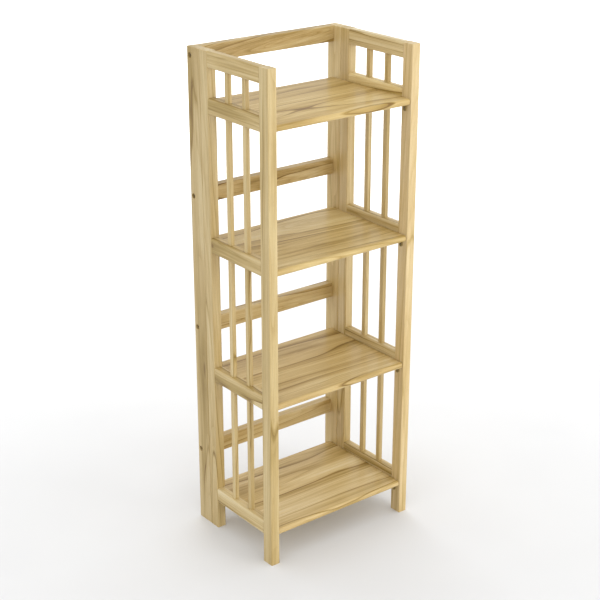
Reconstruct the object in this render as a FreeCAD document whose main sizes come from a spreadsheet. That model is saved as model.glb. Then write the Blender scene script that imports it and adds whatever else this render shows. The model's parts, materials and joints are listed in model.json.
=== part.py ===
import FreeCAD, Part
import Sketcher
import os
import re

# Folding bookcase: two slatted side frames hinged to a back frame, and four shelves
# that swing up about pins in the back frame. Millimetres, +Z up, front towards -Y.
# The origin is on the floor, under the middle of the footprint.
# Every side piece is modelled on the right (+X), and its left twin is its mirror image.

SHELF_COUNT = 4
SLATS_PER_BAY = 2
SCREWS_PER_LEAF = 2

# Driving sizes, each written once.
SIZES = {
    # overall
    "overall_width": 408,
    "overall_depth": 287.5,
    "overall_height": 1143,
    # heights of the shelves' upper faces
    "lowest_shelf_top": 86,
    "top_space": 118.5,
    # uprights
    "post_thickness": 22.5,
    "front_post_depth": 31,
    "rear_post_depth": 28.5,
    "stile_depth": 46.5,
    "post_round": 2,
    # rails of the side frames
    "rail_thickness": 21.5,
    "rail_height": 35.5,
    "rail_rise": 18.4,
    "rail_round": 4.5,
    "tenon_thickness": 10,
    "tenon_shoulder": 6,
    "tenon_length": 12,
    "mortise_spare": 1,
    # slats of the side frames
    "slat_thickness": 10,
    "slat_width": 13,
    "slat_spacing": 61.4,
    "slat_seat": 6,
    "slat_round": 1.5,
    # rails of the back frame
    "back_rail_thickness": 21.5,
    "back_rail_height": 37,
    "back_rail_inset": 0.3,
    "back_rail_drop": 0.3,
    "back_rail_round": 2,
    # shelves
    "shelf_thickness": 15,
    "shelf_end_gap": 0.6,
    "shelf_front_inset": 2.1,
    "shelf_tail": 9.5,
    "shelf_nose_round": 7,
    "shelf_rear_corner": 7,
    "shelf_round": 1.2,
    "fold_clearance": 1.2,
    # pivot pins of the shelves
    "pivot_radius": 2.5,
    "pivot_running_fit": 0.1,
    "pivot_seat": 12,
    "pivot_end_play": 0.6,
    # screws that hold the back rails
    "rail_screw_inset": 11,
    "rail_screw_length": 45,
    "rail_screw_radius": 2.2,
    "rail_screw_head_radius": 4.3,
    "rail_screw_head_height": 2.2,
    "counterbore_radius": 6,
    "counterbore_depth": 5,
    # upright rests under the shelves' front corners
    "rest_width": 7.5,
    "rest_height": 14.5,
    "rest_reach": 3.2,
    "rest_corner": 3.6,
    "rest_round": 0.4,
    "rest_setback": 18.4,
    "rest_gap": 0.2,
    "rest_recess_depth": 1.7,
    "rest_recess_room": 0.35,
    "rest_screw_length": 14,
    "rest_screw_radius": 1.5,
    "rest_screw_head_radius": 2.4,
    "rest_screw_head_height": 1.4,
    # butt hinges between the side frames and the back frame
    "hinge_length": 36,
    "hinge_drop": 6,
    "leaf_width": 15,
    "leaf_thickness": 1.1,
    "knuckle_radius": 2.6,
    "knuckle_gap": 0.3,
    "hinge_pin_radius": 1.3,
    "hinge_screw_length": 11,
    "hinge_screw_radius": 1.3,
    "hinge_screw_head_radius": 2.4,
    "hinge_screw_sink": 0.1,
    "hinge_screw_inset": 8.5,
    "hinge_screw_spacing": 18,
    # room round screws and pins that don't turn, and beyond their tips
    "tight_fit": 0.05,
    "pilot_spare": 1,
}

# Sizes that follow from the driving ones.
DERIVED = {
    "half_width": "overall_width / 2",
    "half_depth": "overall_depth / 2",
    "shelf_pitch": f"(overall_height - lowest_shelf_top - top_space) / {SHELF_COUNT - 1}",
    "inner_face": "half_width - post_thickness",
    "post_middle": "half_width - post_thickness / 2",
    "seam": "half_depth - stile_depth",
    "opening_front": "front_post_depth - half_depth",
    "opening_depth": "seam - rear_post_depth - opening_front",
    "tenon_height": "rail_height - 2 * tenon_shoulder",
    "back_rail_front": "half_depth - back_rail_inset - back_rail_thickness",
    "pivot_y": "back_rail_front - fold_clearance - shelf_thickness / 2",
    "shelf_front": "shelf_front_inset - half_depth",
    "shelf_width": "pivot_y + shelf_tail - shelf_front",
    "shelf_length": "2 * (inner_face - shelf_end_gap)",
    "rail_screw_y": "half_depth - rail_screw_inset",
    "hinge_axis_x": "inner_face - knuckle_radius",
    "knuckle_length": "(hinge_length - 2 * knuckle_gap) / 3",
}

doc = FreeCAD.newDocument("FoldingBookcase")
sheet = doc.addObject("Spreadsheet::Sheet", "Sizes")
pieces = []


def fill_sheet():
    """Write every size into the sheet: its name in column A and its value in column B."""
    cells = {name: str(value) for name, value in SIZES.items()}
    cells.update({name: "=" + text for name, text in DERIVED.items()})
    for row, (name, content) in enumerate(cells.items(), start=1):
        sheet.set(f"A{row}", name)
        sheet.set(f"B{row}", content)
        sheet.setAlias(f"B{row}", name)
    doc.recompute()


def formula(text):
    """Turn a formula in size names into one that points at the sheet."""
    return re.sub(r"\b[a-z]\w*", r"Sizes.\g<0>", str(text))


def value(text):
    """The number that a formula gives now."""
    return float(sheet.evalExpression(formula(text)))


def bind(thing, prop, text):
    """Tie a property of a document object to a formula."""
    thing.setExpression(prop, formula(text))


def shelf_top(index):
    """Height of a shelf's upper face, the lowest shelf being number 0."""
    return f"(lowest_shelf_top + {index} * shelf_pitch)"


def rail_bottom(index):
    """Underside of a side rail: one at each shelf, and one flush with the post tops."""
    if index == SHELF_COUNT:
        return "(overall_height - rail_height)"
    return f"({shelf_top(index)} + rail_rise - rail_height)"


def back_rail_bottom(index):
    """Underside of a back rail: the top one ends just under the post tops."""
    return f"({shelf_top(index)} + top_space - back_rail_drop - back_rail_height)"


def hinge_middle(index):
    """Mid-height of the hinge under a shelf."""
    return f"({shelf_top(index)} - shelf_thickness - hinge_drop - hinge_length / 2)"


# ---- sketches and features -------------------------------------------------------------


def new_body(label, x, y, z):
    """Start a piece whose own origin stands at (x, y, z)."""
    body = doc.addObject("PartDesign::Body", label)
    body.Label = label
    body.AllowCompound = True
    for axis, text in zip("xyz", (x, y, z)):
        bind(body, f"Placement.Base.{axis}", text)
    pieces.append(body)
    return body


def origin_feature(body, role):
    """One of the body's own origin planes or axes."""
    return next(item for item in body.Origin.OriginFeatures if item.Role == role)


def sketch_on(body, role, offset="0", rise="0"):
    """Start a sketch on an origin plane, moved along its normal and along its own y axis."""
    sketch = body.newObject("Sketcher::SketchObject", f"{body.Name}_sketch")
    sketch.AttachmentSupport = [(origin_feature(body, role), "")]
    sketch.MapMode = "FlatFace"
    bind(sketch, "AttachmentOffset.Base.z", offset)
    bind(sketch, "AttachmentOffset.Base.y", rise)
    return sketch


def hold_point(sketch, geometry, position, x, y):
    """Hold a sketch point at two formulas, measured from the sketch's origin."""
    for kind, text in (("DistanceX", x), ("DistanceY", y)):
        rule = Sketcher.Constraint(kind, -1, 1, geometry, position, value(text))
        index = sketch.addConstraint(rule)
        bind(sketch, f"Constraints[{index}]", text)


def outline(sketch, points):
    """Draw a closed outline of straight lines through points given by formulas."""
    spots = [FreeCAD.Vector(value(x), value(y), 0) for x, y in points]
    count = len(spots)
    first = sketch.GeometryCount
    for index in range(count):
        sketch.addGeometry(Part.LineSegment(spots[index], spots[(index + 1) % count]))
    for index in range(count):
        following = first + (index + 1) % count
        sketch.addConstraint(Sketcher.Constraint("Coincident", first + index, 2, following, 1))
    for index, (x, y) in enumerate(points):
        hold_point(sketch, first + index, 1, x, y)


def rectangle(sketch, left, low, right, high):
    """Draw a rectangle between two corners given by formulas."""
    outline(sketch, [(left, low), (right, low), (right, high), (left, high)])


def circle(sketch, x, y, radius):
    """Draw a circle whose centre and radius are given by formulas."""
    middle = FreeCAD.Vector(value(x), value(y), 0)
    index = sketch.addGeometry(Part.Circle(middle, FreeCAD.Vector(0, 0, 1), value(radius)))
    hold_point(sketch, index, 3, x, y)
    rule = sketch.addConstraint(Sketcher.Constraint("Radius", index, value(radius)))
    bind(sketch, f"Constraints[{rule}]", radius)


def pad(body, sketch, length, against_normal=False):
    """Add material from a sketch, along the sketch's normal or against it."""
    feature = body.newObject("PartDesign::Pad", f"{body.Name}_pad")
    feature.Profile = sketch
    bind(feature, "Length", length)
    feature.Reversed = against_normal
    doc.recompute()
    return feature


def pocket(body, sketch, depth, along_normal=False):
    """Cut material from a sketch, against the sketch's normal or along it."""
    before = body.Shape.Volume
    feature = body.newObject("PartDesign::Pocket", f"{body.Name}_pocket")
    feature.Profile = sketch
    bind(feature, "Length", depth)
    feature.Reversed = along_normal
    doc.recompute()
    if body.Shape.Volume >= before:
        raise RuntimeError(f"{feature.Label} cuts nothing")
    return feature


def round_edges(body, radius, wanted):
    """Round the edges of the body that the test picks."""
    base = body.Tip
    names = [f"Edge{n}" for n, edge in enumerate(base.Shape.Edges, start=1) if wanted(edge)]
    feature = body.newObject("PartDesign::Fillet", f"{body.Name}_fillet")
    feature.Base = (base, names)
    bind(feature, "Radius", radius)
    doc.recompute()
    return feature


def runs_along(axis):
    """A test for straight edges parallel to an axis."""
    def wanted(edge):
        if not isinstance(edge.Curve, Part.Line):
            return False
        return abs(edge.Curve.Direction.dot(axis)) > 0.999
    return wanted


def turn(body, sketch, kind="Revolution"):
    """Revolve a sketch about its own x axis: a Revolution adds and a Groove cuts."""
    feature = body.newObject(f"PartDesign::{kind}", f"{body.Name}_turned")
    feature.Profile = sketch
    feature.ReferenceAxis = (sketch, ["H_Axis"])
    feature.Angle = 360
    doc.recompute()
    return feature


def repeat_at_each_shelf(body):
    """Copy the whole piece upwards, once for each shelf."""
    feature = body.newObject("PartDesign::LinearPattern", f"{body.Name}_pattern")
    feature.TransformMode = "Whole shape"
    feature.Direction = (origin_feature(body, "Z_Axis"), [""])
    bind(feature, "Length", f"{SHELF_COUNT - 1} * shelf_pitch")
    feature.Occurrences = SHELF_COUNT
    body.Tip = feature
    doc.recompute()
    return feature


def mirror_to_left(body):
    """Make the left twin of a right-hand piece."""
    label = body.Label.replace("right", "left")
    twin = doc.addObject("Part::Mirroring", label)
    twin.Label = label
    twin.Source = body
    twin.Base = FreeCAD.Vector(0, 0, 0)
    twin.Normal = FreeCAD.Vector(1, 0, 0)
    pieces.append(twin)


ALONG_X = runs_along(FreeCAD.Vector(1, 0, 0))
ALONG_Y = runs_along(FreeCAD.Vector(0, 1, 0))
ALONG_Z = runs_along(FreeCAD.Vector(0, 0, 1))


# ---- places that several pieces share --------------------------------------------------


def pivot_height(index):
    """Height of a shelf's pivot pins: the middle of the shelf's thickness."""
    return f"({shelf_top(index)} - shelf_thickness / 2)"


def rest_middle(index):
    """Height of the middle of the rests under a shelf."""
    return f"({shelf_top(index)} - shelf_thickness - rest_gap - rest_height / 2)"


def rail_screw_height(index):
    """Height of the screws that hold a back rail."""
    return f"({back_rail_bottom(index)} + back_rail_height / 2)"


def slat_middle(number):
    """Distance from the front of a side opening to the middle of a slat."""
    return f"(opening_depth / 2 + {number - (SLATS_PER_BAY - 1) / 2} * slat_spacing)"


def hinge_screw_rises():
    """Heights of the screws of one leaf, from the middle of the hinge."""
    middle = (SCREWS_PER_LEAF - 1) / 2
    return [f"({number - middle} * hinge_screw_spacing)" for number in range(SCREWS_PER_LEAF)]


# ---- uprights --------------------------------------------------------------------------


def upright(label, y, depth):
    """A full-height post, rounded along its four corners and round its top."""
    body = new_body(label, "inner_face", y, "0")
    section = sketch_on(body, "XY_Plane")
    rectangle(section, "0", "0", "post_thickness", depth)
    pad(body, section, "overall_height")
    top = value("overall_height") - 0.01
    round_edges(body, "post_round", lambda edge: ALONG_Z(edge) or edge.BoundBox.ZMin > top)
    return body


def cut_rail_mortises(body, face, along_normal):
    """Cut a mortise for each side rail's tenon."""
    sketch = sketch_on(body, "XZ_Plane", face)
    for index in range(SHELF_COUNT + 1):
        low = f"{rail_bottom(index)} + tenon_shoulder"
        rectangle(
            sketch,
            "post_thickness / 2 - tenon_thickness / 2", low,
            "post_thickness / 2 + tenon_thickness / 2", f"{low} + tenon_height",
        )
    pocket(body, sketch, "tenon_length + mortise_spare", along_normal)


def cut_hinge_gains(body, face, along_normal):
    """Sink a hinge leaf into the post under each shelf, with pilot holes for its screws."""
    gains = sketch_on(body, "XZ_Plane", face)
    pilots = sketch_on(body, "XZ_Plane", face)
    for index in range(SHELF_COUNT):
        middle = hinge_middle(index)
        rectangle(
            gains,
            "-post_round", f"{middle} - hinge_length / 2",
            "leaf_width", f"{middle} + hinge_length / 2",
        )
        for rise in hinge_screw_rises():
            circle(pilots, "hinge_screw_inset", f"{middle} + {rise}", "hinge_screw_radius + tight_fit")
    pocket(body, gains, "leaf_thickness", along_normal)
    pocket(body, pilots, "hinge_screw_length + pilot_spare", along_normal)


def make_front_post():
    """Front post: mortises towards the rear, and pilot holes for the shelf rests' screws."""
    body = upright("front_post_right", "-half_depth", "front_post_depth")
    cut_rail_mortises(body, "-front_post_depth", along_normal=True)
    pilots = sketch_on(body, "YZ_Plane")
    for index in range(SHELF_COUNT):
        circle(pilots, "rest_setback", rest_middle(index), "rest_screw_radius + tight_fit")
    reach = "rest_screw_length - rest_reach + rest_recess_depth + pilot_spare"
    pocket(body, pilots, reach, along_normal=True)
    return body


def make_rear_post():
    """Rear post: mortises towards the front, and hinge gains towards the back frame."""
    body = upright("rear_post_right", "seam - rear_post_depth", "rear_post_depth")
    cut_rail_mortises(body, "0", along_normal=False)
    cut_hinge_gains(body, "-rear_post_depth", along_normal=True)
    return body


def make_back_stile():
    """Stile of the back frame: it carries the shelf pivots, the hinges and the back rails."""
    body = upright("back_stile_right", "seam", "stile_depth")
    cut_hinge_gains(body, "0", along_normal=False)
    pivots = sketch_on(body, "YZ_Plane")
    shanks = sketch_on(body, "YZ_Plane")
    counterbores = sketch_on(body, "YZ_Plane", "post_thickness")
    for index in range(SHELF_COUNT):
        circle(pivots, "pivot_y - seam", pivot_height(index), "pivot_radius + tight_fit")
        y = "rail_screw_y - seam"
        circle(shanks, y, rail_screw_height(index), "rail_screw_radius + tight_fit")
        circle(counterbores, y, rail_screw_height(index), "counterbore_radius")
    pocket(body, pivots, "pivot_seat", along_normal=True)
    pocket(body, shanks, "post_thickness", along_normal=True)
    pocket(body, counterbores, "counterbore_depth")
    return body


# ---- side frames -----------------------------------------------------------------------


def cut_slat_mortises(body, face, along_normal):
    """Cut a mortise for each slat that ends in this side rail."""
    sketch = sketch_on(body, "XY_Plane", face)
    for number in range(SLATS_PER_BAY):
        middle = slat_middle(number)
        rectangle(
            sketch,
            "rail_thickness / 2 - slat_thickness / 2", f"{middle} - slat_width / 2",
            "rail_thickness / 2 + slat_thickness / 2", f"{middle} + slat_width / 2",
        )
    pocket(body, sketch, "slat_seat + mortise_spare", along_normal)


def add_tenon(body, face, against_normal):
    """Add the tenon at one end of a side rail."""
    sketch = sketch_on(body, "XZ_Plane", face)
    rectangle(
        sketch,
        "rail_thickness / 2 - tenon_thickness / 2", "tenon_shoulder",
        "rail_thickness / 2 + tenon_thickness / 2", "tenon_shoulder + tenon_height",
    )
    pad(body, sketch, "tenon_length", against_normal)


def make_side_rail(index):
    """Rail between the posts of a side frame, set in the middle of their thickness."""
    x = "post_middle - rail_thickness / 2"
    body = new_body(f"side_rail_{index + 1}_right", x, "opening_front", rail_bottom(index))
    section = sketch_on(body, "XZ_Plane")
    rectangle(section, "0", "0", "rail_thickness", "rail_height")
    pad(body, section, "opening_depth", against_normal=True)
    round_edges(body, "rail_round", ALONG_Y)
    add_tenon(body, "0", against_normal=False)
    add_tenon(body, "-opening_depth", against_normal=True)
    if index < SHELF_COUNT:
        cut_slat_mortises(body, "rail_height", along_normal=False)
    if index > 0:
        cut_slat_mortises(body, "0", along_normal=True)
    return body


def make_slat(bay, number):
    """Upright slat between two side rails, seated in both."""
    place = ("front", "rear")[number]
    body = new_body(
        f"side_slat_{bay + 1}_{place}_right",
        "post_middle - slat_thickness / 2",
        f"opening_front + {slat_middle(number)} - slat_width / 2",
        f"{rail_bottom(bay)} + rail_height - slat_seat",
    )
    section = sketch_on(body, "XY_Plane")
    rectangle(section, "0", "0", "slat_thickness", "slat_width")
    pad(body, section, f"{rail_bottom(bay + 1)} - {rail_bottom(bay)} - rail_height + 2 * slat_seat")
    round_edges(body, "slat_round", ALONG_Z)
    return body


# ---- back frame and shelves ------------------------------------------------------------


def make_back_rail(index):
    """Rail between the stiles of the back frame, bored at both ends for its screws."""
    body = new_body(f"back_rail_{index + 1}", "-inner_face", "back_rail_front", back_rail_bottom(index))
    section = sketch_on(body, "YZ_Plane")
    rectangle(section, "0", "0", "back_rail_thickness", "back_rail_height")
    pad(body, section, "2 * inner_face")
    round_edges(body, "back_rail_round", ALONG_X)
    reach = "rail_screw_length + counterbore_depth - post_thickness + pilot_spare"
    for face, along_normal in (("0", True), ("2 * inner_face", False)):
        bore = sketch_on(body, "YZ_Plane", face)
        y = "rail_screw_y - back_rail_front"
        circle(bore, y, "back_rail_height / 2", "rail_screw_radius + tight_fit")
        pocket(body, bore, reach, along_normal)


def make_shelf(index):
    """Shelf with a round nose, bored at both ends near the rear for its pins."""
    body = new_body(
        f"shelf_{index + 1}",
        "-shelf_length / 2", "shelf_front", f"{shelf_top(index)} - shelf_thickness",
    )
    plan = sketch_on(body, "XY_Plane")
    rectangle(plan, "0", "0", "shelf_length", "shelf_width")
    pad(body, plan, "shelf_thickness")
    middle = value("shelf_width / 2")
    round_edges(
        body, "shelf_rear_corner",
        lambda edge: ALONG_Z(edge) and edge.BoundBox.YMin > middle,
    )
    round_edges(
        body, "shelf_nose_round",
        lambda edge: ALONG_X(edge) and edge.BoundBox.YMax < middle,
    )
    round_edges(
        body, "shelf_round",
        lambda edge: edge.BoundBox.ZLength < 0.01
        and (edge.BoundBox.XLength < 0.01 or edge.BoundBox.YMin > middle),
    )
    for face, along_normal in (("0", True), ("shelf_length", False)):
        bore = sketch_on(body, "YZ_Plane", face)
        y = "shelf_width - shelf_tail"
        circle(bore, y, "shelf_thickness / 2", "pivot_radius + pivot_running_fit")
        pocket(body, bore, "pivot_seat", along_normal)


# ---- hardware --------------------------------------------------------------------------


def screw_outline(sketch, seat, toward, screw):
    """Half section of a pan-head screw whose head rests on a seat and whose tip points
    towards +1 or -1 along the sketch's x axis."""
    radius = f"{screw}_radius"
    head_radius = f"{screw}_head_radius"
    head_top = f"{seat} - {toward} * {screw}_head_height"
    head_edge = f"{seat} - {toward} * {screw}_head_height / 2"
    tip = f"{seat} + {toward} * {screw}_length"
    outline(sketch, [
        (head_top, "0"),
        (head_top, f"{head_radius} * 0.6"),
        (head_edge, head_radius),
        (seat, head_radius),
        (seat, radius),
        (f"{tip} - {toward} * 2 * {radius}", radius),
        (tip, "0"),
    ])


def make_rail_screws():
    """Screws through the stile into the back rails, their heads sunk in counterbores."""
    body = new_body("back_rail_screws_right", "half_width", "rail_screw_y", rail_screw_height(0))
    section = sketch_on(body, "XZ_Plane")
    screw_outline(section, "-counterbore_depth", -1, "rail_screw")
    turn(body, section)
    repeat_at_each_shelf(body)
    return body


def make_rests():
    """Upright rests on the front posts, round at the foot, each recessed for a screw head."""
    body = new_body("shelf_rests_right", "inner_face", "rest_setback - half_depth", rest_middle(0))
    face = sketch_on(body, "YZ_Plane")
    rectangle(face, "-rest_width / 2", "-rest_height / 2", "rest_width / 2", "rest_height / 2")
    pad(body, face, "rest_reach", against_normal=True)
    round_edges(body, "rest_corner", lambda edge: ALONG_X(edge) and edge.BoundBox.ZMax < 0)
    proud = -value("rest_reach") + 0.01
    round_edges(body, "rest_round", lambda edge: edge.BoundBox.XMax < proud)
    holes = (
        ("rest_screw_radius + tight_fit", "rest_reach"),
        ("rest_screw_head_radius + rest_recess_room", "rest_recess_depth"),
    )
    for radius, depth in holes:
        hole = sketch_on(body, "YZ_Plane", "-rest_reach")
        circle(hole, "0", "0", radius)
        pocket(body, hole, depth, along_normal=True)
    repeat_at_each_shelf(body)
    return body


def make_rest_screws():
    """Screws that hold the rests to the front posts."""
    body = new_body("shelf_rest_screws_right", "inner_face", "rest_setback - half_depth", rest_middle(0))
    section = sketch_on(body, "XZ_Plane")
    screw_outline(section, "(rest_recess_depth - rest_reach)", 1, "rest_screw")
    turn(body, section)
    repeat_at_each_shelf(body)
    return body


def make_pivot_pins():
    """Steel pins on which the shelves swing: tight in the stiles, free in the shelves."""
    body = new_body("shelf_pivot_pins_right", "inner_face", "pivot_y", pivot_height(0))
    section = sketch_on(body, "YZ_Plane", "pivot_seat")
    circle(section, "0", "0", "pivot_radius")
    pad(body, section, "2 * pivot_seat + shelf_end_gap - pivot_end_play", against_normal=True)
    repeat_at_each_shelf(body)
    return body


def make_hinge_leaves(label, behind, knuckles):
    """Leaves of the butt hinges, on the rear (+1) or front (-1) side of the seam. Their
    knuckles stand round the hinge axis between the heights given, from the middle."""
    body = new_body(label, "hinge_axis_x", "seam", hinge_middle(0))
    face = f"{behind} * leaf_thickness"
    plate = sketch_on(body, "XY_Plane", "-hinge_length / 2")
    rectangle(plate, "knuckle_radius + knuckle_gap", "0", "knuckle_radius + leaf_width", face)
    pad(body, plate, "hinge_length")
    for low in knuckles:
        tab = sketch_on(body, "XY_Plane", low)
        rectangle(tab, "0", "0", "knuckle_radius + knuckle_gap", face)
        pad(body, tab, "knuckle_length")
        barrel = sketch_on(body, "XY_Plane", low)
        circle(barrel, "0", "0", "knuckle_radius")
        pad(body, barrel, "knuckle_length")
    bore = sketch_on(body, "XY_Plane", "hinge_length / 2")
    circle(bore, "0", "0", "hinge_pin_radius + tight_fit")
    pocket(body, bore, "hinge_length")
    for rise in hinge_screw_rises():
        countersink = sketch_on(body, "YZ_Plane", "knuckle_radius + hinge_screw_inset", rise)
        outline(countersink, [
            ("0", "0"),
            ("0", "hinge_screw_head_radius + 3 * tight_fit"),
            (face, "hinge_screw_radius + tight_fit"),
            (face, "0"),
        ])
        turn(body, countersink, "Groove")
    repeat_at_each_shelf(body)
    return body


def make_hinge_pins():
    """Pins through the knuckles of the butt hinges."""
    body = new_body("hinge_pins_right", "hinge_axis_x", "seam", f"{hinge_middle(0)} - hinge_length / 2")
    section = sketch_on(body, "XY_Plane")
    circle(section, "0", "0", "hinge_pin_radius")
    pad(body, section, "hinge_length")
    repeat_at_each_shelf(body)
    return body


def make_hinge_screws():
    """Countersunk screws of the hinge leaves, into the stile and into the rear post."""
    body = new_body("hinge_screws_right", "inner_face", "seam", hinge_middle(0))
    for rise in hinge_screw_rises():
        for toward in (1, -1):
            section = sketch_on(body, "YZ_Plane", "hinge_screw_inset", rise)
            tip = f"{toward} * hinge_screw_length"
            outline(section, [
                (f"{toward} * hinge_screw_sink", "0"),
                (f"{toward} * hinge_screw_sink", "hinge_screw_head_radius"),
                (f"{toward} * leaf_thickness", "hinge_screw_radius"),
                (f"{tip} - {toward} * 2 * hinge_screw_radius", "hinge_screw_radius"),
                (tip, "0"),
            ])
            turn(body, section)
    repeat_at_each_shelf(body)
    return body


# ---- the whole bookcase ----------------------------------------------------------------


def make_right_side():
    """Every piece of the right-hand side, in a list."""
    made = [make_back_stile(), make_rear_post(), make_front_post()]
    made += [make_side_rail(index) for index in range(SHELF_COUNT + 1)]
    made += [make_slat(bay, number) for bay in range(SHELF_COUNT) for number in range(SLATS_PER_BAY)]
    outer_knuckles = ("-hinge_length / 2", "hinge_length / 2 - knuckle_length")
    made += [
        make_rail_screws(),
        make_rests(),
        make_rest_screws(),
        make_pivot_pins(),
        make_hinge_leaves("hinge_leaves_stile_right", 1, ("-knuckle_length / 2",)),
        make_hinge_leaves("hinge_leaves_post_right", -1, outer_knuckles),
        make_hinge_pins(),
        make_hinge_screws(),
    ]
    return made


def check_document():
    """Stop if any object of the document failed, or any piece has no sound shape."""
    doc.recompute()
    failed = [item.Label for item in doc.Objects if {"Invalid", "Error"} & set(item.State)]
    for piece in pieces:
        if piece.Shape.isNull() or not piece.Shape.isValid():
            failed.append(piece.Label)
    if failed:
        raise RuntimeError("failed: " + ", ".join(failed))


def write_pieces():
    """Write each piece to a STEP file of its own."""
    os.makedirs("parts", exist_ok=True)
    for piece in pieces:
        piece.Shape.exportStep(f"parts/{piece.Label}.step")
        print(f"{piece.Label}: {len(piece.Shape.Solids)} solids, {piece.Shape.Volume / 1000:.1f} cm3")


fill_sheet()
for piece_on_the_right in make_right_side():
    mirror_to_left(piece_on_the_right)
for level in range(SHELF_COUNT):
    make_back_rail(level)
    make_shelf(level)
check_document()
write_pieces()
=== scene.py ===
"""Folding bookcase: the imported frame, dressed with lacquered wood, steel and plastic.

Lengths are in metres, powers in watts, and colours are linear. The front faces -Y, and X runs
to the right as seen from the front.
"""
import json
import math
from collections import namedtuple

import bpy
import numpy as np
from mathutils import Euler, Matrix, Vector


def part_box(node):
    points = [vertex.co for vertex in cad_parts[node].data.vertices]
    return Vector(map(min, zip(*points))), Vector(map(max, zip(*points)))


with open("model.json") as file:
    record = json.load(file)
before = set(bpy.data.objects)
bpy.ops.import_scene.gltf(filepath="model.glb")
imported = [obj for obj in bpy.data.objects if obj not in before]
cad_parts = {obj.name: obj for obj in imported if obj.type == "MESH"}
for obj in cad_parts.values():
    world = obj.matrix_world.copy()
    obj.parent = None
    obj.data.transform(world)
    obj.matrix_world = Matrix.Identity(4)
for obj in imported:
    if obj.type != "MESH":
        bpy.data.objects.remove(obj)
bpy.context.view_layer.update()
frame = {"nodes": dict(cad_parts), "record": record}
nodes = frame["nodes"]

# ---- camera ----------------------------------------------------------------------------

CAMERA_PLACE = (-1.8449, -2.3525, 1.7663)
CAMERA_AZIMUTH = -37.94  # degrees
CAMERA_ELEVATION = 22.04  # degrees that it looks down
SENSOR_WIDTH = 36.0  # millimetres
LENS = 84.80  # millimetres
FAR_CLIP = 60


def add_camera():
    """A camera that looks down at the bookcase from the front left."""
    data = bpy.data.cameras.new("camera")
    data.lens = LENS
    data.sensor_width = SENSOR_WIDTH
    data.clip_end = FAR_CLIP
    camera = bpy.data.objects.new("camera", data)
    camera.location = CAMERA_PLACE
    tilt = math.radians(90 - CAMERA_ELEVATION)
    camera.rotation_euler = Euler((tilt, 0, math.radians(CAMERA_AZIMUTH)))
    bpy.context.scene.collection.objects.link(camera)
    bpy.context.scene.camera = camera


# ---- node helpers ----------------------------------------------------------------------

NOISE_SPAN = (0.3, 0.7)  # the range that most of the noise lies in


class Tree:
    """A short way to write a node tree: most calls add a node and return its output."""

    def __init__(self, tree):
        self.tree = tree

    def node(self, kind, **settings):
        """Add a node, set its properties and return the node itself."""
        made = self.tree.nodes.new(kind)
        for name, setting in settings.items():
            setattr(made, name, setting)
        return made

    def feed(self, socket, source):
        """Give an input socket a link or a plain value."""
        if isinstance(source, bpy.types.NodeSocket):
            self.tree.links.new(source, socket)
        else:
            socket.default_value = source

    def math(self, operation, first, second=0.0, third=0.0):
        """One arithmetic step."""
        made = self.node("ShaderNodeMath", operation=operation)
        for socket, source in zip(made.inputs, (first, second, third)):
            self.feed(socket, source)
        return made.outputs[0]

    def vector(self, operation, first, second=(0, 0, 0)):
        """One step of vector arithmetic."""
        made = self.node("ShaderNodeVectorMath", operation=operation)
        self.feed(made.inputs[0], first)
        self.feed(made.inputs[1], second)
        return made.outputs["Value" if operation == "LENGTH" else "Vector"]

    def turn(self, place, angles, shift):
        """Turn a place about the origin by angles in radians, and shift it."""
        made = self.node("ShaderNodeMapping", vector_type="POINT")
        self.feed(made.inputs["Vector"], place)
        made.inputs["Rotation"].default_value = angles
        made.inputs["Location"].default_value = shift
        return made.outputs["Vector"]

    def draw(self, number):
        """A random number from 0 to 1 that stays the same for each whole number."""
        made = self.node("ShaderNodeTexWhiteNoise", noise_dimensions="1D")
        self.feed(made.inputs["W"], number)
        return made.outputs["Value"]

    def noise(self, place, stretch, detail=2.0, roughness=0.5):
        """Noise from 0 to 1 whose features per metre along each axis are given by stretch."""
        made = self.node("ShaderNodeTexNoise")
        self.feed(made.inputs["Vector"], self.vector("MULTIPLY", place, stretch))
        made.inputs["Scale"].default_value = 1.0
        made.inputs["Detail"].default_value = detail
        made.inputs["Roughness"].default_value = roughness
        return made.outputs["Fac"]

    def range(self, source, low, high, to_low, to_high):
        """Map one range of numbers to another, held at both ends."""
        made = self.node("ShaderNodeMapRange")
        for socket, given in zip(made.inputs, (source, low, high, to_low, to_high)):
            self.feed(socket, given)
        return made.outputs[0]

    def ramp(self, source, stops):
        """A colour ramp with stops given as (position, colour)."""
        made = self.node("ShaderNodeValToRGB")
        marks = made.color_ramp.elements
        while len(marks) < len(stops):
            marks.new(0.5)
        for mark, (position, colour) in zip(marks, stops):
            mark.position = position
            mark.color = (*colour, 1.0)
        self.feed(made.inputs[0], source)
        return made.outputs[0]

    def mix(self, factor, first, second, blend="MIX"):
        """Mix two colours."""
        made = self.node("ShaderNodeMix", data_type="RGBA", blend_type=blend)
        self.feed(made.inputs["Factor"], factor)
        self.feed(made.inputs["A"], first)
        self.feed(made.inputs["B"], second)
        return made.outputs["Result"]


def new_material(name):
    """A material with its tree, its shader and the object's own coordinates."""
    material = bpy.data.materials.new(name)
    material.use_nodes = True
    tree = Tree(material.node_tree)
    shader = material.node_tree.nodes["Principled BSDF"]
    place = tree.node("ShaderNodeTexCoord").outputs["Object"]
    return material, tree, shader, place


def add_bump(tree, shader, height, distance):
    """Give the shader a bump from a height between 0 and 1, on top of one that it has."""
    bump = tree.node("ShaderNodeBump")
    bump.inputs["Strength"].default_value = 1.0
    bump.inputs["Distance"].default_value = distance
    tree.feed(bump.inputs["Height"], height)
    for earlier in [link.from_socket for link in shader.inputs["Normal"].links]:
        tree.feed(bump.inputs["Normal"], earlier)
    tree.feed(shader.inputs["Normal"], bump.outputs["Normal"])


# ---- helpers for pieces ----------------------------------------------------------------


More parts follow.
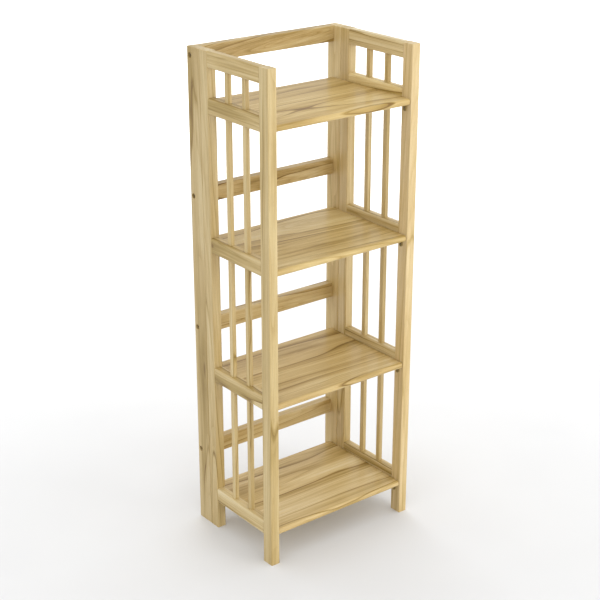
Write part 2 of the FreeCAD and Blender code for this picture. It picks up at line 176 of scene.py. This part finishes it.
def corners(name):
    """A piece's lowest and highest corners, as arrays."""
    return [np.array(corner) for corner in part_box(name)]


def paint(thing, material):
    """Give an object one material."""
    thing.data.materials.clear()
    thing.data.materials.append(material)


def first_match(table, name, otherwise=None):
    """The first entry of a table whose key is the start of a piece's name."""
    return next((entry for start, entry in table.items() if name.startswith(start)), otherwise)


# ---- wood ------------------------------------------------------------------------------

CREAM = (0.71, 0.60, 0.38)
PALE = (0.64, 0.51, 0.265)
TAN = (0.52, 0.38, 0.16)
OLIVE = (0.38, 0.264, 0.078)
LINE = (0.22, 0.127, 0.025)
# the ramp from the dark of a growth line to the palest wood
WOOD_RAMP = [(0.03, LINE), (0.32, OLIVE), (0.50, TAN), (0.72, PALE), (0.92, CREAM)]
PLAIN_LEVEL = 0.54  # where wood with no figure stands on the ramp
# how much each part of the growth moves the wood along the ramp, and what evens out their sum
FIGURE_SHARES = {"Streak": 0.70, "Tone": 0.90, "Shade": -0.34, "Line": -0.80, "Fine line": -0.17}
FIGURE_BALANCE = -0.72

# noise drawn out along the grain: features per metre along it and across, detail, roughness
GRAIN_NOISES = {
    "Wander": (2.4, 9.0, 1.5, 0.5),
    "Ripple": (9.0, 60.0, 1.0, 0.5),
    "Patch": (2.6, 20.0, 1.0, 0.5),
    "Tone": (1.9, 19.0, 3.0, 0.5),
    "Streak": (2.6, 150.0, 3.0, 0.62),
    "Fibre": (22.0, 520.0, 3.0, 0.6),
    "Pore": (150.0, 2300.0, 1.0, 0.5),
}
RIPPLE_DEPTH = 0.004
PATCH_SPAN = (0.35, 0.60)  # where in the patch noise rings grow from faintest to full
FAINTEST = 0.35  # the strength that rings keep where they are faintest
SHADE_REACH = 0.75  # the share of a ring that its shade takes to fade away
LINE_SPAN = (0.01, 0.055)  # how far off its middle a line starts to fade and ends, in rings
LINE_POWER = 1.5  # over 1, so that strong lines are rarer than weak ones
FINE_RINGS = 4.3  # fine rings to each ring
FINE_REACH = 0.6  # the share of a fine ring that its shade takes to fade away

FIBRE_SHADES = (0.93, 1.05)  # from dark fibres to light ones
FIBRE_ROUGHNESS = (0.48, 0.38)  # from dark fibres to light ones
PORE_SPAN = (0.30, 0.42)  # of the pore noise: a pore below the first, none above the second
PORE_SHADE = 0.88
PORE_DEPTH = 0.6  # against 1 for the fibres
WOOD_RELIEF = 0.00006

# the turn in radians that brings the grain's axis onto x
GRAIN_TURNS = {"x": (0, 0, 0), "y": (0, 0, -math.pi / 2), "z": (0, math.pi / 2, 0)}

# How a kind of board was sawn: its ring width and how far the rings wander, how far from the
# board's middle the pith line lies through the wide face and to the side, the greatest lean of
# that line in radians, the turned axis that the wide face looks along, and how strong the
# figure is.
Cut = namedtuple("Cut", "ring_width wander deep aside lean facing figure")
# by the start of the piece's name; the first that fits holds
CUTS = {
    "shelf": Cut(0.026, 0.070, 0.050, 0.080, 0.05, "z", 1.0),
    "back_rail": Cut(0.014, 0.020, 0.016, 0.010, 0.10, "y", 1.15),
    "side_rail": Cut(0.012, 0.010, 0.030, 0.030, 0.02, "y", 1.1),
    "side_slat": Cut(0.009, 0.008, 0.050, 0.030, 0.015, "y", 0.65),
    "front_post_right": Cut(0.014, 0.020, 0.045, 0.030, 0.05, "y", 0.5),
    "front_post": Cut(0.014, 0.020, 0.045, 0.030, 0.05, "y", 0.8),
    "rear_post": Cut(0.014, 0.020, 0.045, 0.030, 0.05, "z", 0.75),
    "back_stile": Cut(0.018, 0.025, 0.050, 0.020, 0.05, "z", 0.75),
}
NO_TINT = (1.0, 1.0, 1.0)
# the tint of each board that isn't of the common tone, by the start of the piece's name;
# and the left-side posts' and stile's tints painted shade, for how the light falls on them
# each is partly the board's own tone; the right-side boards' tints are also painted light,
BOARD_TONES_AND_PAINTED_LIGHT = {
    "shelf_1": (1.05, 1.03, 1.00),
    "shelf_2": (0.96, 0.91, 0.79),
    "shelf_3": (1.00, 0.97, 0.84),
    "shelf_4": (0.95, 0.89, 0.72),
    "back_rail": (0.83, 0.78, 0.68),
    "side_rail_4_right": (1.28, 1.30, 1.30),
    "front_post_right": (1.13, 1.13, 1.23),
    "front_post_left": (0.94, 0.93, 0.90),
    "rear_post_left": (0.94, 0.93, 0.92),
    "back_stile_left": (0.91, 0.90, 0.90),
    "back_stile_right": (1.08, 1.08, 1.08),
    "rear_post_right": (1.02, 1.02, 1.05),
}


def grain_noise(tree, place, kind):
    """One kind of noise drawn out along x."""
    along, across, detail, roughness = GRAIN_NOISES[kind]
    return tree.noise(place, (along, across, across), detail, roughness)


def growth_group():
    """Growth rings, tone and fibres of a board whose grain and pith line run along x.

    A ring's number is the distance from the pith line, with a slow wander and a small ripple
    added, over the ring width. Each ring starts at a thin dark line and a shade that fades
    away from it, and every ring has a strength of its own. Fine rings fade in the same way
    at a smaller width. Tone, streaks, fibres and pores are noise drawn out along x.
    """
    group = bpy.data.node_groups.new("board growth", "ShaderNodeTree")
    group.interface.new_socket("Place", in_out="INPUT", socket_type="NodeSocketVector")
    for name in ("Ring width", "Wander"):
        group.interface.new_socket(name, in_out="INPUT", socket_type="NodeSocketFloat")
    for name in ("Line", "Shade", "Fine line", "Tone", "Streak", "Fibre", "Pore"):
        group.interface.new_socket(name, in_out="OUTPUT", socket_type="NodeSocketFloat")
    tree = Tree(group)
    given = tree.node("NodeGroupInput")
    result = tree.node("NodeGroupOutput")
    place = given.outputs["Place"]

    off_pith = tree.vector("LENGTH", tree.vector("MULTIPLY", place, (0.0, 1.0, 1.0)))
    wander = tree.math("SUBTRACT", grain_noise(tree, place, "Wander"), 0.5)
    wander = tree.math("MULTIPLY", wander, given.outputs["Wander"])
    ripple = tree.math("SUBTRACT", grain_noise(tree, place, "Ripple"), 0.5)
    ripple = tree.math("MULTIPLY", ripple, RIPPLE_DEPTH)
    off_pith = tree.math("ADD", off_pith, tree.math("ADD", wander, ripple))
    rings = tree.math("DIVIDE", off_pith, given.outputs["Ring width"])
    patch = tree.range(grain_noise(tree, place, "Patch"), *PATCH_SPAN, FAINTEST, 1.0)

    strength = tree.math("MULTIPLY", tree.draw(tree.math("FLOOR", rings)), patch)
    fade = tree.range(tree.math("FRACT", rings), 0.0, SHADE_REACH, 1.0, 0.0)
    tree.feed(result.inputs["Shade"], tree.math("MULTIPLY", fade, strength))

    off_line = tree.math("PINGPONG", rings, 0.5)
    strength = tree.math("POWER", tree.draw(tree.math("ROUND", rings)), LINE_POWER)
    strength = tree.math("MULTIPLY", strength, patch)
    line = tree.range(off_line, *LINE_SPAN, 1.0, 0.0)
    tree.feed(result.inputs["Line"], tree.math("MULTIPLY", line, strength))

    fine = tree.math("MULTIPLY", rings, FINE_RINGS)
    strength = tree.draw(tree.math("FLOOR", fine))
    fade = tree.range(tree.math("FRACT", fine), 0.0, FINE_REACH, 1.0, 0.0)
    tree.feed(result.inputs["Fine line"], tree.math("MULTIPLY", fade, strength))

    for name in ("Tone", "Streak", "Fibre", "Pore"):
        tree.feed(result.inputs[name], grain_noise(tree, place, name))
    return group


GROWTH = growth_group()


def board_draws(number, count):
    """Numbers from 0 to 1 for one board.

    Draw k of board n is the part after the point of golden (n + 1) (1 + 0.7 k) + 0.37 k,
    where golden is the golden ratio less 1 and k counts from 1.
    """
    golden = (math.sqrt(5) - 1) / 2
    steps = np.arange(1, count + 1)
    return np.mod((number + 1) * golden * (1 + 0.7 * steps) + 0.37 * steps, 1.0)


def place_in_log(number, cut):
    """Where a board lay in its log: the lean of the pith line, and the shift from it.

    The pith line lies 0.7 to 1.3 times as deep as the cut says, on either side, and each
    board starts 3 to 12 m along the log, so that no two share a figure.
    """
    draws = board_draws(number, 6)
    swing = 2 * draws - 1
    deep = cut.deep * (0.7 + 0.6 * draws[0]) * math.copysign(1, swing[1])
    aside = cut.aside * swing[2]
    across = (deep, aside) if cut.facing == "y" else (aside, deep)
    along = 3 + 9 * draws[3]
    return (0, cut.lean * swing[4], cut.lean * swing[5]), (along, *across)


def lacquered_board(name, grain, number, middle, cut, tone_and_painted_light):
    """Light hardwood under clear satin lacquer, with the grain along one axis.

    middle is the board's centre, cut says how it was sawn from the log, and the tint colours it:
    partly the board's own tone, and on the side boards painted light and shade as well.
    """
    lean, shift = place_in_log(number, cut)
    material, tree, shader, place = new_material(name)
    centred = tree.vector("SUBTRACT", place, tuple(middle))
    turned = tree.turn(centred, GRAIN_TURNS[grain], (0, 0, 0))
    growth = tree.node("ShaderNodeGroup", node_tree=GROWTH)
    tree.feed(growth.inputs["Place"], tree.turn(turned, lean, shift))
    growth.inputs["Ring width"].default_value = cut.ring_width
    growth.inputs["Wander"].default_value = cut.wander

    figure = FIGURE_BALANCE
    for output, share in FIGURE_SHARES.items():
        figure = tree.math("MULTIPLY_ADD", growth.outputs[output], share, figure)
    level = tree.math("MULTIPLY_ADD", figure, cut.figure, PLAIN_LEVEL)
    # the tint scales the whole ramp: own tone, plus painted light (right side) and shade (left
    # side)
    stops = [(mark, tuple(np.multiply(colour, tone_and_painted_light))) for mark, colour in WOOD_RAMP]
    colour = tree.ramp(level, stops)

    fibre = growth.outputs["Fibre"]
    pores = tree.range(growth.outputs["Pore"], *PORE_SPAN, PORE_SHADE, 1.0)
    shade = tree.math("MULTIPLY", tree.range(fibre, *NOISE_SPAN, *FIBRE_SHADES), pores)
    grey = tree.node("ShaderNodeCombineColor")
    for socket in grey.inputs:
        tree.feed(socket, shade)
    colour = tree.mix(1.0, colour, grey.outputs[0], "MULTIPLY")
    tree.feed(shader.inputs["Base Color"], colour)

    tree.feed(shader.inputs["Roughness"], tree.range(fibre, *NOISE_SPAN, *FIBRE_ROUGHNESS))
    shader.inputs["Specular IOR Level"].default_value = 0.35
    shader.inputs["Coat Weight"].default_value = 0.20
    shader.inputs["Coat Roughness"].default_value = 0.20
    height = tree.math("ADD", fibre, tree.math("MULTIPLY", pores, PORE_DEPTH))
    add_bump(tree, shader, height, WOOD_RELIEF)
    return material


# ---- metal and plastic -----------------------------------------------------------------

SCREW_COLOUR = (0.35, 0.27, 0.155)
SCREW_ROUGHNESS = 0.34
HINGE_COLOUR = (0.72, 0.62, 0.38)
HINGE_ROUGHNESS = 0.28
DULL_SHADE = 0.78  # of the dull parts of plated steel
SCRATCH_ROUGHNESS = (-0.07, 0.1)  # how much smoother or rougher scratches leave plated steel
STEEL_RELIEF = 0.00001

CROSS_HEADS = ("back_rail_screws", "shelf_rest_screws")  # the pieces whose screws have a cross
SCREWS_IN_A_COLUMN = 4
# where a cross's arm fades out sideways and at its end, as shares of the head's radius
ARM_EDGE = (0.10, 0.17)
ARM_END = (0.52, 0.64)
# the painted shade in the hollow of a screw's cross
CROSS_PAINTED_SHADE = (0.035, 0.028, 0.020, 1.0)
CROSS_DEPTH = 0.0008

REST_COLOUR = (0.20, 0.145, 0.050)
WORN_SHADE = 1.35  # of the worn parts of the plastic
GRIT_ROUGHNESS = (0.46, 0.60)
PLASTIC_RELIEF = 0.00003


def plated_steel(name, colour, roughness):
    """Plated steel: faintly mottled, with fine rubbed scratches."""
    material, tree, shader, place = new_material(name)
    mottle = tree.noise(place, (420.0, 420.0, 420.0), detail=3.0)
    dull = tuple(DULL_SHADE * part for part in colour)
    tree.feed(shader.inputs["Base Color"], tree.ramp(mottle, [(0.35, dull), (0.65, colour)]))
    shader.inputs["Metallic"].default_value = 1.0
    scratch = tree.noise(place, (260.0, 5200.0, 900.0), detail=2.0)
    rubbed = [roughness + change for change in SCRATCH_ROUGHNESS]
    tree.feed(shader.inputs["Roughness"], tree.range(scratch, *NOISE_SPAN, *rubbed))
    add_bump(tree, shader, scratch, STEEL_RELIEF)
    return material


def cut_cross(material, name):
    """Cut a cross in the head of each screw of a piece, as painted shade and bump.

    The screws lie along x and stand one above another at an even spacing, so the height is
    wrapped at that spacing. The cross is where the lesser of the two offsets from a screw's
    axis is small, as far out as the driver reaches.
    """
    low, high = corners(name)
    radius = (high[1] - low[1]) / 2
    spacing = (high[2] - low[2] - 2 * radius) / (SCREWS_IN_A_COLUMN - 1)
    axis = (0.0, low[1] + radius, low[2] + radius)
    tree = Tree(material.node_tree)
    shader = material.node_tree.nodes["Principled BSDF"]
    place = tree.node("ShaderNodeTexCoord").outputs["Object"]
    split = tree.node("ShaderNodeSeparateXYZ")
    tree.feed(split.inputs[0], tree.vector("SUBTRACT", place, axis))
    across = tree.math("ABSOLUTE", split.outputs["Y"])
    up = tree.math("WRAP", split.outputs["Z"], spacing / 2, -spacing / 2)
    up = tree.math("ABSOLUTE", up)
    edge = [share * radius for share in ARM_EDGE]
    end = [share * radius for share in ARM_END]
    arm = tree.range(tree.math("MINIMUM", across, up), *edge, 1.0, 0.0)
    reach = tree.range(tree.math("MAXIMUM", across, up), *end, 1.0, 0.0)
    cross = tree.math("MULTIPLY", arm, reach)
    plain = shader.inputs["Base Color"].links[0].from_socket
    # the cross is painted dark as the shade in its hollow
    tree.feed(shader.inputs["Base Color"], tree.mix(cross, plain, CROSS_PAINTED_SHADE))
    add_bump(tree, shader, tree.math("SUBTRACT", 1.0, cross), CROSS_DEPTH)


def moulded_plastic(name, colour):
    """Dark moulded plastic with a fine spark-eroded texture."""
    material, tree, shader, place = new_material(name)
    mottle = tree.noise(place, (90.0, 90.0, 90.0), detail=2.0)
    worn = tuple(WORN_SHADE * part for part in colour)
    tree.feed(shader.inputs["Base Color"], tree.ramp(mottle, [(0.3, colour), (0.75, worn)]))
    grit = tree.noise(place, (3400.0, 3400.0, 3400.0), detail=2.0)
    tree.feed(shader.inputs["Roughness"], tree.range(grit, *NOISE_SPAN, *GRIT_ROUGHNESS))
    shader.inputs["Specular IOR Level"].default_value = 0.25
    add_bump(tree, shader, grit, PLASTIC_RELIEF)
    return material


# ---- dressing the frame ----------------------------------------------------------------


def dress_wood():
    """Give each wooden piece its own board, with the grain along its longest side."""
    parts = frame["record"]["subparts"]
    wooden = sorted(part["node"] for part in parts if part["material_slot"].endswith("_wood"))
    for number, name in enumerate(wooden):
        low, high = corners(name)
        grain = "xyz"[int(np.argmax(high - low))]
        cut = first_match(CUTS, name)
        tone_and_painted_light = first_match(BOARD_TONES_AND_PAINTED_LIGHT, name, NO_TINT)
        board = lacquered_board(f"{name} board", grain, number, (low + high) / 2, cut, tone_and_painted_light)
        paint(nodes[name], board)


def dress_hardware():
    """Give the steel and plastic pieces their finishes, and cross heads to the screws in view."""
    finishes = {
        "screw_steel": plated_steel("darkened steel", SCREW_COLOUR, SCREW_ROUGHNESS),
        "hinge_steel": plated_steel("yellow zinc", HINGE_COLOUR, HINGE_ROUGHNESS),
        "rest_plastic": moulded_plastic("brown plastic", REST_COLOUR),
    }
    for part in frame["record"]["subparts"]:
        name = part["node"]
        finish = finishes.get(part["material_slot"])
        if name.startswith(CROSS_HEADS):
            finish = plated_steel(f"{name} steel", SCREW_COLOUR, SCREW_ROUGHNESS)
            cut_cross(finish, name)
        if finish:
            paint(nodes[name], finish)


# ---- studio ----------------------------------------------------------------------------

FLOOR_FRONT = -27.0
FLOOR_NEAR = 3  # how far the closely divided floor reaches before and behind the bookcase
FLOOR_END = 9.0  # where the floor starts to turn up
TURN_RADIUS = 4.0
WALL_TOP = 8.0
FLOOR_HALF_WIDTH = 16
FLOOR_RAMP = [(0.3, (0.725, 0.728, 0.732)), (0.7, (0.745, 0.748, 0.752))]

WORLD_COLOUR = (1.0, 1.0, 1.0, 1.0)
WORLD_STRENGTH = 1.18
# a square softbox that faces its target and shines within its spread, in degrees
Softbox = namedtuple("Softbox", "name place target size power spread")
SOFTBOXES = (
    Softbox("front light", (0.9, -4.2, 0.9), (0, 0, 0.5), 3.4, 84, 180),
    Softbox("floor light", (2.4, 4.2, 5.0), (2.4, 4.2, 0), 4.0, 142, 85),
)


def add_floor():
    """A pale floor that runs up into a wall behind.

    Its profile is swept sideways: a flat part, then a quarter turn with y = end + radius sin a
    and z = radius (1 - cos a) for an angle a from 0 to 90 degrees, then an upright wall.
    """
    near = np.linspace(-FLOOR_NEAR, FLOOR_NEAR, 13)
    turn = np.linspace(0, math.pi / 2, 25)
    rise = TURN_RADIUS * (1 - np.cos(turn))
    back = FLOOR_END + TURN_RADIUS * np.sin(turn)
    along = np.concatenate([[FLOOR_FRONT], near, back, [FLOOR_END + TURN_RADIUS]])
    height = np.concatenate([[0], np.zeros(len(near)), rise, [WALL_TOP]])
    sideways = np.linspace(-FLOOR_HALF_WIDTH, FLOOR_HALF_WIDTH, 33)
    grid = np.broadcast_arrays(sideways[:, None], along[None, :], height[None, :])
    grid = np.stack(grid, axis=-1)
    rows, columns = grid.shape[:2]
    index = np.arange(rows * columns).reshape(rows, columns)
    quads = np.stack([index[:-1, :-1], index[1:, :-1], index[1:, 1:], index[:-1, 1:]], axis=-1)
    mesh = bpy.data.meshes.new("floor")
    mesh.from_pydata(grid.reshape(-1, 3).tolist(), [], quads.reshape(-1, 4).tolist())
    mesh.shade_smooth()
    floor = bpy.data.objects.new("floor", mesh)
    bpy.context.scene.collection.objects.link(floor)

    material, tree, shader, place = new_material("pale floor")
    speck = tree.noise(place, (3.0, 3.0, 3.0), detail=2.0)
    tree.feed(shader.inputs["Base Color"], tree.ramp(speck, FLOOR_RAMP))
    shader.inputs["Roughness"].default_value = 0.75
    shader.inputs["Specular IOR Level"].default_value = 0.2
    paint(floor, material)


def add_softbox(box):
    """Hang one softbox."""
    data = bpy.data.lights.new(box.name, "AREA")
    data.shape = "SQUARE"
    data.size = box.size
    data.energy = box.power
    data.spread = math.radians(box.spread)
    lamp = bpy.data.objects.new(box.name, data)
    lamp.location = box.place
    aim = Vector(box.target) - Vector(box.place)
    lamp.rotation_euler = aim.to_track_quat("-Z", "Y").to_euler()
    bpy.context.scene.collection.objects.link(lamp)


def add_studio():
    """Soft front light from the right, a light over the floor behind, and even white light."""
    world = bpy.data.worlds.new("studio")
    world.use_nodes = True
    background = world.node_tree.nodes["Background"]
    background.inputs["Color"].default_value = WORLD_COLOUR
    background.inputs["Strength"].default_value = WORLD_STRENGTH
    bpy.context.scene.world = world
    for box in SOFTBOXES:
        add_softbox(box)
    bpy.context.scene.view_settings.view_transform = "Standard"


add_camera()
add_floor()
add_studio()
dress_wood()
dress_hardware()
